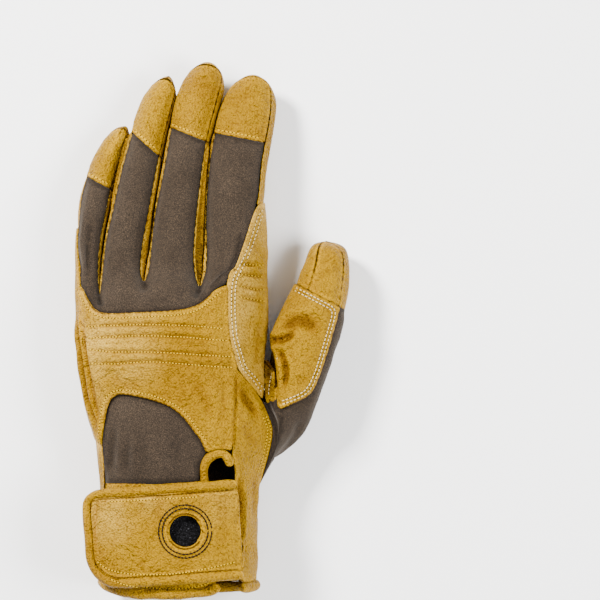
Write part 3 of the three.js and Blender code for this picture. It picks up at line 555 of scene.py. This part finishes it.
# The fourchettes: strips of leather let in between the fingers, painted darker as shade. Their sewn
# edges stand up in a bright rim beside the cloth of the back: a paler cut edge and a painted highlight.
dark_tan = (0.14, 0.068, 0.0)
deep_brown = (0.075, 0.033, 0.0)
bright_rim = (0.42, 0.26, 0.02)
shaded_hide = grain_hide("shaded_hide", dark_tan, deep_brown, bright_rim)
rim_from, rim_slope = 0.78, 6
for pair in ("little_ring", "ring_middle", "middle_index"):
    fourchette = sewn_panel("fourchette_" + pair, plump=0.0, rim=0.3, ripple=0.1, fill=2.4)
    closeness = np.empty(len(fourchette.data.vertices), np.float32)
    fourchette.data.attributes["near_seam"].data.foreach_get("value", closeness)
    # The rim's painted highlight with the cut edge's paler colour, brightest right beside the seam.
    paint(fourchette.data, "pale", (closeness - rim_from) * rim_slope)
    dressed(fourchette, shaded_hide, "fourchette_" + pair)

# The back of the hand: brown stretch cloth in one piece over the four fingers, a speckled
# knit with a slight sheen, tight over the knuckles and dimpled at the roots of the fingers.
dark_brown = (0.0145, 0.0101, 0.0067)
light_brown = (0.0225, 0.016, 0.0109)


def stretch_cloth(name):
    cloth = Recipe(name)
    flecks = cloth.noise(3300, 3, 0.0, (1, 0.75, 1))
    shade = cloth.ramp(cloth.noise(45, 3), (0.3, dark_brown), (0.7, light_brown))
    bright = cloth.ramp(flecks, (0.36, (0.35, 0.35, 0.35)), (0.5, (1.0, 1.0, 1.0)),
                        (0.64, (3.0, 2.8, 2.5)))
    tone = cloth.mix("MULTIPLY", 0.9, shade, bright)
    # Painted shade: the cloth darker towards its seams.
    seam = cloth.ramp(cloth.painted("near_seam"), (0.6, (1, 1, 1)), (0.95, (0.35, 0.33, 0.3)))
    tone = cloth.mix("MULTIPLY", 1.0, tone, seam)
    # Painted shade in the folds: the cloth darker the deeper each crease sinks.
    sunk = cloth.ramp(cloth.painted("fold"), (0.0, (1, 1, 1)), (1.0, (0.35, 0.33, 0.3)))
    tone = cloth.mix("MULTIPLY", 1.0, tone, sunk)
    cloth.links.new(tone, cloth.surface.inputs["Base Color"])
    cloth.surface.inputs["Roughness"].default_value = 0.93
    cloth.surface.inputs["Specular IOR Level"].default_value = 0.08
    cloth.surface.inputs["Sheen Weight"].default_value = 0.14
    cloth.surface.inputs["Sheen Roughness"].default_value = 0.5
    cloth.surface.inputs["Sheen Tint"].default_value = (0.75, 0.68, 0.6, 1)
    knit = cloth.bump(flecks, 0.8, 0.0003)
    rows = cloth.noise(900, 2, 0.0, (1, 0.08, 1))
    cloth.bump(rows, 0.35, 0.0002, knit)
    return cloth.material


brown_cloth = stretch_cloth("brown_stretch_cloth")
back_creases = [
    crease([(145, 284), (146, 291), (147, 299)], 0.9, 3.2),
    crease([(201, 290), (202, 297), (203, 304)], 0.8, 3.2),
    crease([(99, 298), (100, 304), (101, 309)], 0.7, 2.6),
    crease([(118, 246), (122, 262), (124, 278)], 0.3, 3.0),
    crease([(170, 250), (172, 268), (173, 284)], 0.3, 3.2),
    crease([(224, 252), (223, 266), (222, 280)], 0.3, 3.0),
    crease([(112, 222), (124, 225), (136, 223)], 0.3, 2.4),
    crease([(160, 205), (175, 209), (190, 206)], 0.3, 2.4),
    crease([(214, 196), (230, 200), (246, 197)], 0.3, 2.4),
]
back_panel = sewn_panel("back_panel", back_creases, plump=0.6, ripple=0.2)
dressed(back_panel, brown_cloth, "back_panel")

# The fingertips: a leather cap over each nail and a band round the thumb's side of the tip,
# seamed together along the finger, with small wrinkles across the ends.
tip_creases = [
    crease([(196, 80), (205, 78), (214, 82)], 0.4, 0.9),
    crease([(199, 87), (208, 86), (217, 90)], 0.35, 0.9),
    crease([(196, 96), (206, 95), (216, 100)], 0.35, 1.0),
    crease([(203, 103), (211, 104), (218, 108)], 0.3, 0.9),
    crease([(160, 90), (167, 92), (172, 97)], 0.35, 0.9),
    crease([(152, 100), (163, 98), (172, 103)], 0.3, 1.0),
    crease([(238, 98), (250, 95), (260, 98)], 0.3, 1.1),
    crease([(107, 146), (116, 145), (123, 148)], 0.2, 1.1),
]
for finger in fingers:
    cap = sewn_panel("fingertip_cap_" + finger, tip_creases, plump=0.5, rim=0.1, ripple=0.12)
    dressed(cap, golden_hide, "fingertip_cap_" + finger)
    band = sewn_panel("fingertip_band_" + finger, plump=0.4, ripple=0.1)
    dressed(band, golden_hide, "fingertip_band_" + finger)

# The knuckle patch: leather over the back of the hand, with painted highlights at the little finger's
# side, and quilted by four rows of stitching. Its top and bottom edges are topstitched to the cloth.
knuckle_quilting = [
    [(85, 326.5), (110, 325.5), (140, 324.5), (175, 325), (205, 326.5), (226, 328.8)],
    [(87, 338), (110, 337), (140, 335.5), (180, 336.5), (210, 339), (229, 340.3)],
    [(90, 349.4), (115, 351.5), (145, 351.5), (180, 353), (210, 355), (236, 356.5)],
    [(92, 363.2), (115, 363.5), (150, 361.3), (185, 363.5), (215, 366), (236, 367)],
]
knuckle_creases = [crease(line, 0.95, 1.15, shoulder=quilt_shoulder) for line in knuckle_quilting]
knuckle_creases += [
    side_seam, column_seam,
    crease([(196, 378), (204, 396), (214, 418)], 0.5, 3.0),
    crease([(110, 378), (130, 384), (150, 383)], 0.35, 2.6),
    crease([(222, 378), (224, 400), (222, 430)], 0.4, 2.4),
    crease([(95, 380), (99, 400), (103, 425)], 0.4, 1.8),
]
knuckle_patch = sewn_panel("knuckle_patch", knuckle_creases, plump=0.4, rim=0.2, ripple=0.18)
# Painted highlights at the little finger's side of the patch.
painted_highlights(knuckle_patch, [(100, 345, 75, 1.0), (118, 372, 45, 0.7), (92, 300, 40, 0.6)])
dressed(knuckle_patch, golden_hide, "knuckle_patch")

# The wrist's back: the same brown cloth, drawn into soft upright folds above the closing tab.
wrist_creases = [
    crease([(114, 424), (113, 450), (112, 478)], 0.8, 2.4),
    crease([(129, 432), (128, 455), (127, 478)], 0.6, 2.2),
    crease([(146, 440), (145, 460), (144, 476)], 0.4, 2.4),
    crease([(176, 436), (178, 455), (176, 472)], 0.4, 2.6),
]
wrist_back = sewn_panel("wrist_back_panel", wrist_creases, plump=0.5, ripple=0.25, closing=1.0)
dressed(wrist_back, brown_cloth, "wrist_back_panel")

# The thumb: brown cloth at its back, leather underneath, and a leather guard over the pad that
# faces up. The guard is drawn into deep folds at the web, where the thumb bends inwards.
thumb_creases = [
    crease([(264, 342), (270, 341.5), (280, 340), (290, 336), (297, 329)], 2.6, 2.0),
    crease([(276, 349), (281, 356), (285, 366), (285, 378), (282, 388)], 2.1, 1.9),
    crease([(290, 353), (293, 360), (293, 368)], 0.8, 1.5),
    crease([(283, 330), (292, 322), (303, 321), (314, 327), (318, 338)], 1.9, 3.6),
    crease([(277, 325), (283, 319), (290, 313)], 0.4, 1.3),
    crease([(282, 331), (288, 325)], 0.35, 1.2),
    crease([(297, 385), (305, 378), (312, 368)], 0.4, 2.2),
    crease([(271, 352), (270, 366), (268, 380)], 0.5, 1.6),
    crease([(322, 300), (330, 314), (331, 330)], 0.35, 2.0),
    crease([(300, 420), (292, 440), (282, 455)], 0.4, 2.4),
]
thumb_leathers = {
    "thumb_guard": {"rim": 0.12},
    "thumb_front": {},
    "web_patch": {"closing": 0.5, "fill": 2.6},
}
for name, finish in thumb_leathers.items():
    piece = sewn_panel(name, thumb_creases, plump=0.4, ripple=0.2, **finish)
    dressed(piece, golden_hide, name)
thumb_back = sewn_panel("thumb_back", thumb_creases, plump=0.4, ripple=0.2, closing=0.5)
dressed(thumb_back, brown_cloth, "thumb_back")
for name in ("thumb_tip_front", "thumb_tip_back", "thumb_tip_band"):
    piece = sewn_panel(name, thumb_creases, plump=0.5, ripple=0.12, closing=0.35)
    dressed(piece, golden_hide, name)

# The cuff's back, seen in a strip below the tab, and the bindings: narrow strips of leather
# rolled over the edges of the hem, of the wrist slit with its keyhole, and of the closing tab.
cuff_creases = [crease([(110, 500), (140, 505), (180, 503)], 0.3, 3.0)]
cuff_back = sewn_panel("cuff_back", cuff_creases, plump=0.0, ripple=0.0, closing=1.5)
dressed(cuff_back, golden_hide, "cuff_back")
bright_tan = (0.25, 0.134, 0.0)
bright_rich_tan = (0.18, 0.088, 0.0)
binding_hide = grain_hide("binding_hide", bright_tan, bright_rich_tan, highlight_tan)
binding_creases = [crease([(218, 452 + 1.5 * row), (221, 457 + row)], 0.5, 0.7) for row in range(3)]
for name in ("hem_piping", "slit_piping", "tab_piping"):
    binding = sewn_panel(name, binding_creases, plump=0.0, edge=0.0, ripple=0.22, swell=0.28)
    dressed(binding, binding_hide, name)

# The closing tab: a flap of thick leather with a round carry hole, and below the hole the black
# hook-and-loop tape that the tab presses on.
tab_creases = [
    crease([(104, 493), (98, 508), (96, 530), (99, 553)], 0.7, 1.3),
    crease([(111, 492), (105, 503), (101, 516)], 0.45, 1.0),
    crease([(158, 491), (161, 505), (160, 525)], 0.4, 3.2),
    crease([(184, 489), (185, 497)], 0.3, 1.6),
    crease([(222, 492), (224, 520), (222, 552)], 0.35, 3.0),
]
cuff_tab = sewn_panel("cuff_tab", tab_creases, plump=0.5, edge=0.6, ripple=0.2, closing=0.8)
hole_column, hole_row = 186.3, 529.2
hole = plan_point(hole_column, hole_row)
hole_radius, hole_reach = 0.0084, 0.013
top_corner = plan_point(92, 496)
corner_pull, corner_reach = 0.0016, 0.006
cut = np.array([(spot.x - hole.x, spot.y - hole.y) for spot in seam_spots["cuff_tab"]])
cut_radii = np.hypot(cut[:, 0], cut[:, 1])
cut = cut[cut_radii < hole_reach]
cut_radii = cut_radii[cut_radii < hole_reach]
cut_turns = np.arctan2(cut[:, 1], cut[:, 0])
for spot in cuff_tab.data.vertices:
    pull = Vector((top_corner.x - spot.co.x, top_corner.y - spot.co.y, 0))
    spot.co += pull.normalized() * corner_pull * max(0, 1 - pull.length / corner_reach)
    x, y = spot.co.x - hole.x, spot.co.y - hole.y
    far = math.hypot(x, y)
    if far < hole_reach:
        own = np.interp(math.atan2(y, x), cut_turns, cut_radii, period=2 * math.pi)
        spread = 1 if far < own else (hole_reach - hole_radius) / (hole_reach - own)
        way = hole_radius + (far - own) * spread
        spot.co.x, spot.co.y = hole.x + x * way / far, hole.y + y * way / far
# Painted highlights at the tab's left end, middle and right end.
painted_highlights(cuff_tab, [(112, 515, 38, 0.55), (150, 500, 30, 0.4), (220, 500, 30, 0.5)])
dressed(cuff_tab, golden_hide, "cuff_tab")


def loop_tape(name):
    tape = Recipe(name)
    fuzz = tape.noise(1400, 6, 0.8)
    tone = tape.ramp(fuzz, (0.4, (0.001, 0.001, 0.001)), (0.62, (0.008, 0.008, 0.009)),
                     (0.78, (0.07, 0.07, 0.08)))
    tape.links.new(tone, tape.surface.inputs["Base Color"])
    tape.surface.inputs["Roughness"].default_value = 0.95
    tape.surface.inputs["Specular IOR Level"].default_value = 0.05
    tape.bump(fuzz, 1.0, 0.0009)
    return tape.material


loop_patch = sewn_panel("loop_patch", plump=0.0, edge=0.8, ripple=0.0)
dressed(loop_patch, loop_tape("black_loop_tape"), "loop_patch")

# The stitching: thick waxed thread, white and doubled along the overlays' edges, yellow in the
# quilting and along the bindings, and black in two rings round the carry hole.
glove_tree = tree_of([one for one in bpy.data.objects if one.name.endswith("_sewn")])
jitter = random.Random(9)


def thread(name, colour):
    spun = Recipe(name)
    shaded = tuple(part * 0.7 for part in colour)
    twist = spun.ramp(spun.noise(2400, 2), (0.3, shaded), (0.7, colour))
    spun.links.new(twist, spun.surface.inputs["Base Color"])
    spun.surface.inputs["Roughness"].default_value = 0.75
    spun.surface.inputs["Specular IOR Level"].default_value = 0.08
    spun.bump(spun.noise(3000, 2), 0.5, 0.0001)
    return spun.material


white_thread = thread("white_thread", (0.66, 0.52, 0.26))
yellow_thread = thread("yellow_thread", (0.58, 0.35, 0.0))
black_thread = thread("black_thread", (0.004, 0.004, 0.005))
# Painted shade in the needle holes: dark marks sunk into the hide at each stitch's end.
prick_shade = thread("needle_hole_shade", (0.03, 0.014, 0.002))


def stitching(name, lines, colour, slot, side="back", pitch=1.55, length=1.05, thick=0.25):
    """Rows of single stitches along plan lines: each a short length of thread, sunk at its ends, with a
    dark mark of painted shade in each needle hole.
    """
    widest_gap, lift, flatness, off_floor = 2.5, 0.00005, 0.85, 0.00002
    prick_length, prick_width, prick_depth = 0.0003, 0.00038, 0.00012
    bead = {"u_segments": 6, "v_segments": 4, "radius": 1}
    rows = {"": bmesh.new(), "_pricks": bmesh.new()}
    for line in lines:
        threads, pricks = bmesh.new(), bmesh.new()
        spots = steps_along([plan_point(*point) for point in line], pitch / 1000)
        on_skin = laid(spots, side, glove_tree)
        for (place, normal), (ahead, other) in zip(on_skin, on_skin[1:]):
            along = ahead - place
            if along.length > widest_gap * pitch / 1000:
                continue
            centre = place.lerp(ahead, 0.5) + (normal + other) * 0.5 * lift
            along.normalize()
            across = normal.cross(along).normalized()
            up = along.cross(across)
            half = length * jitter.uniform(0.92, 1.05) / 2000
            turn = Matrix((along * half, across * thick / 1000, up * thick * flatness / 1000))
            turn = Matrix.Translation(centre) @ turn.transposed().to_4x4()
            turn = turn @ Matrix.Rotation(math.pi / 2, 4, "Y")
            bmesh.ops.create_uvsphere(threads, matrix=turn, **bead)
            flat = Matrix((along * prick_length, across * prick_width, up * prick_depth))
            flat = Matrix.Translation(place) @ flat.transposed().to_4x4()
            bmesh.ops.create_uvsphere(pricks, matrix=flat, **bead)
        for title, few in (("", threads), ("_pricks", pricks)):
            for corner in few.verts:
                corner.co.z = max(corner.co.z, off_floor)
            passing = bpy.data.meshes.new("row")
            few.to_mesh(passing)
            few.free()
            rows[title].from_mesh(passing)
            bpy.data.meshes.remove(passing)
    for title, whole in rows.items():
        mesh = bpy.data.meshes.new(name + title)
        whole.to_mesh(mesh)
        whole.free()
        mesh.shade_smooth()
        mesh.materials.append(prick_shade if title else colour)
        row = bpy.data.objects.new(name + title, mesh)
        bpy.context.collection.objects.link(row)
        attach(row, "root")


def beside(line, gap):
    """The same line, moved gap pixels of the photo to its left."""
    moved = []
    for i, (x, y) in enumerate(line):
        before, after = line[max(i - 1, 0)], line[min(i + 1, len(line) - 1)]
        across = Vector((after[1] - before[1], before[0] - after[0])).normalized()
        moved.append((x + across.x * gap, y + across.y * gap))
    return moved


def border(line, node):
    """A line of the photo drawn onto the panel's own seam, where that lies close to it."""
    buried, step, reach, smoothings = 0.0006, 0.0015, 0.006, 4
    own = []
    for spot in seam_spots[node]:
        place = solids_tree.ray_cast(Vector((spot.x, spot.y, over_glove)), Vector((0, 0, -1)))[0]
        if place is not None and place.z - spot.z < buried:
            own.append(spot)
    tree = KDTree(len(own))
    for i, spot in enumerate(own):
        tree.insert((spot.x, spot.y, 0), i)
    tree.balance()
    spots = []
    for spot in steps_along([plan_point(*point) for point in line], step):
        place, i, gap = tree.find(spot)
        spots.append(Vector((place.x, place.y, 0)) if gap < reach else spot)
    for smoothing in range(smoothings):
        even = [a * 0.25 + b * 0.5 + c * 0.25 for a, b, c in zip(spots, spots[1:], spots[2:])]
        spots = spots[:1] + even + spots[-1:]
    return [(spot.x / picture_scale + middle_column - middle_x / picture_scale,
             middle_row - (spot.y - middle_y) / picture_scale) for spot in spots[::2]]


long_stitch = {"pitch": 1.9, "length": 1.55}
guard_line = [(264.5, 208), (257, 215), (250, 225), (244.5, 237), (240, 250), (236, 262), (233, 275),
              (230.5, 300), (230, 316), (229.5, 332), (231.5, 348), (238, 366), (248, 382), (259, 398)]
guard_border = border(guard_line, "palm_panel")
guard_rows = [beside(guard_border, 3), beside(guard_border, 6.5)]
stitching("guard_stitching", guard_rows, white_thread, "golden_leather", **long_stitch)
thumb_line = [(298, 282), (310, 287), (322, 294), (333, 304), (340, 315), (340, 326), (337, 339),
              (331, 353), (318, 377), (304, 392), (290, 402), (279, 407.5)]
thumb_border = border(thumb_line, "thumb_guard")
thumb_rows = [beside(thumb_border, -2.8), beside(thumb_border, -6)]
stitching("thumb_guard_stitching", thumb_rows, white_thread, "golden_leather", **long_stitch)
web_line = [(275, 356), (270, 369), (266.5, 384), (265.5, 396)]
stitching("web_stitching", [beside(web_line, 3)], white_thread, "golden_leather", **long_stitch)
top_line = [(79, 284), (86, 299), (94.4, 313), (116.6, 313.5), (145, 313), (167, 311.6), (181, 311),
            (204, 299), (226, 286)]
bottom_line = [(106, 440), (105, 415), (106, 402), (112, 395), (125.8, 393), (144, 397), (167, 402),
               (182.5, 413), (202, 439), (209, 448)]
knuckle_rows = [beside(border(top_line, "knuckle_patch"), -4.5)]
knuckle_rows += [beside(border(bottom_line, "knuckle_patch"), 4)]
knuckle_rows += knuckle_quilting
stitching("knuckle_stitching", knuckle_rows, yellow_thread, "golden_leather")
stitching("guard_quilting", guard_quilting, yellow_thread, "golden_leather")
stitching("palm_quilting", palm_quilting, yellow_thread, "golden_leather", "palm")
overlay_rows = [
    [(88, 231), (100, 231), (112, 233)],
    [(121, 221), (134, 222), (146, 224)],
    [(168, 215), (182, 217), (195, 219)],
    [(214, 221), (235, 215), (260, 210)],
]
second_row = 3.2
overlay_rows += [[(column, row + second_row) for column, row in line] for line in overlay_rows]
overlay_rows += [
    [(95, 432), (108, 429), (117, 422), (124, 414)],
    [(94, 428.5), (107, 425.5), (116, 418), (122, 411)],
    [(190, 387), (205, 390), (221, 394), (237, 396.5), (250, 393), (258, 382)],
]
stitching("overlay_stitching", overlay_rows, white_thread, "golden_leather", "palm", **long_stitch)
thumb_root = [(127, 424), (135, 446), (144, 463), (153, 479), (163, 489), (181, 497), (197, 499.5),
              (213, 499), (229, 496), (245, 493), (258, 490)]
hem_row = [(109, 575), (133, 579), (165, 581), (205, 580), (245, 577)]
heel_rows = [thumb_root, beside(thumb_root, -3.4), hem_row]
stitching("palm_stitching", heel_rows, yellow_thread, "golden_leather", "palm")
cap_lines = {
    "little": [(84, 179), (96, 183), (108, 187)],
    "ring": [(130, 137), (145, 145), (159, 153)],
    "middle": [(169, 130), (188, 134), (208, 141)],
    "index": [(215, 136), (238, 139), (260, 142)],
}
cap_rows = [beside(border(line, "fingertip_cap_" + finger), 3) for finger, line in cap_lines.items()]
stitching("cap_stitching", cap_rows, yellow_thread, "golden_leather", pitch=1.9, length=1.45, thick=0.28)
column_border = border([(277, 412), (276.5, 424), (275, 436), (270, 455), (263.5, 475)], "palm_heel")
column_rows = [beside(column_border, -3), beside(column_border, -6)]
stitching("column_stitching", column_rows, yellow_thread, "golden_leather")
tab_bottom = [(98, 560), (108, 567), (125, 571.5), (150, 573), (180, 571.5), (210, 566.5), (239, 560)]
tab_top = [(112, 500), (140, 498.5), (165, 497), (200, 495)]
cuff_row = [(112, 577), (130, 583), (155, 586), (190, 586), (215, 579)]
tab_rows = [beside(tab_bottom, 0.8), tab_top, cuff_row]
stitching("tab_stitching", tab_rows, yellow_thread, "golden_leather", thick=0.26)
ring_parts, ring_radii = 48, (22.7, 26.3)
ring_turns = [part * 2 * math.pi / ring_parts for part in range(ring_parts + 1)]
rings = []
for radius in ring_radii:
    rings.append([(hole_column + radius * math.cos(turn), hole_row + radius * math.sin(turn))
                  for turn in ring_turns])
stitching("hole_stitching", rings, black_thread, "black_loop_tape", pitch=1.7, length=1.55, thick=0.42)
